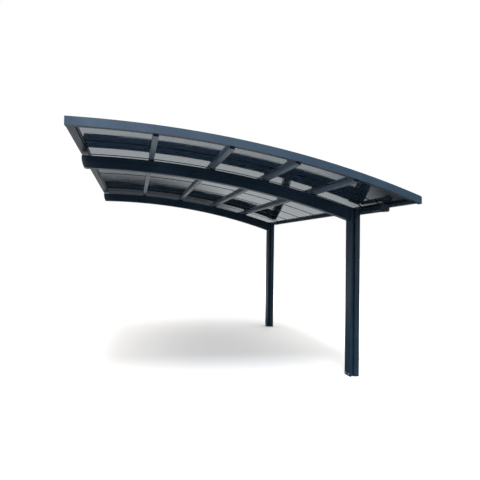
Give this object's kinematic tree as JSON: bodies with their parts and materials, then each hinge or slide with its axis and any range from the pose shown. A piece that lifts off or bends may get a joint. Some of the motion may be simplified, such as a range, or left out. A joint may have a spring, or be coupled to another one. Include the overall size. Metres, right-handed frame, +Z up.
{
  "type": "cantilever carport",
  "caption": "One-sided carport with posts along the low side, curved cantilever beams, purlins and a gently curved see-through roof with gutter and drain pipe.",
  "frame": {"origin": "centre of the front post's foot, on the ground", "axes": "+X from the free edge of the roof towards the low side over the posts, +Y from the front post to the rear post, +Z up"},
  "size_m": [3.639, 5.62, 2.805],
  "materials": {
    "coated_aluminium": "satin powder coat, near-black blue-grey",
    "roof_sheet": "clear sheet with a grey tint, glossy",
    "gasket": "matt black",
    "cap_plastic": "satin, matched to the frame",
    "drain_pipe": "glossy dark grey",
    "foot_alloy": "mill"
  },
  "bodies": {
    "root": {"drain_pipe": "drain_pipe", "drain_spout": "drain_pipe", "free_edge_bar": "coated_aluminium", "free_end_caps": "cap_plastic", "front_beam": "coated_aluminium", "front_beam_cap": "cap_plastic", "front_foot": "foot_alloy", "front_post": "coated_aluminium", "front_post_cap": "coated_aluminium", "front_saddles": "coated_aluminium", "front_side_frame": "coated_aluminium", "glazing_bar_1": "coated_aluminium", "glazing_bar_2": "coated_aluminium", "glazing_bar_3": "coated_aluminium", "glazing_bar_4": "coated_aluminium", "glazing_bar_5": "coated_aluminium", "glazing_bar_6": "coated_aluminium", "glazing_bar_7": "coated_aluminium", "glazing_bar_8": "coated_aluminium", "gutter": "coated_aluminium", "gutter_brackets": "coated_aluminium", "gutter_outlet_box": "drain_pipe", "low_end_caps": "cap_plastic", "panel_gaskets": "gasket", "purlin_1": "coated_aluminium", "purlin_2": "coated_aluminium", "purlin_3": "coated_aluminium", "purlin_4": "coated_aluminium", "purlin_end_plugs": "cap_plastic", "rear_beam": "coated_aluminium", "rear_beam_cap": "cap_plastic", "rear_foot": "foot_alloy", "rear_post": "coated_aluminium", "rear_post_cap": "coated_aluminium", "rear_saddles": "coated_aluminium", "rear_side_frame": "coated_aluminium", "roof_panel_1": "roof_sheet", "roof_panel_2": "roof_sheet", "roof_panel_3": "roof_sheet", "roof_panel_4": "roof_sheet", "roof_panel_5": "roof_sheet", "roof_panel_6": "roof_sheet", "roof_panel_7": "roof_sheet", "roof_panel_8": "roof_sheet", "roof_panel_9": "roof_sheet"}
  },
  "joints": []
}
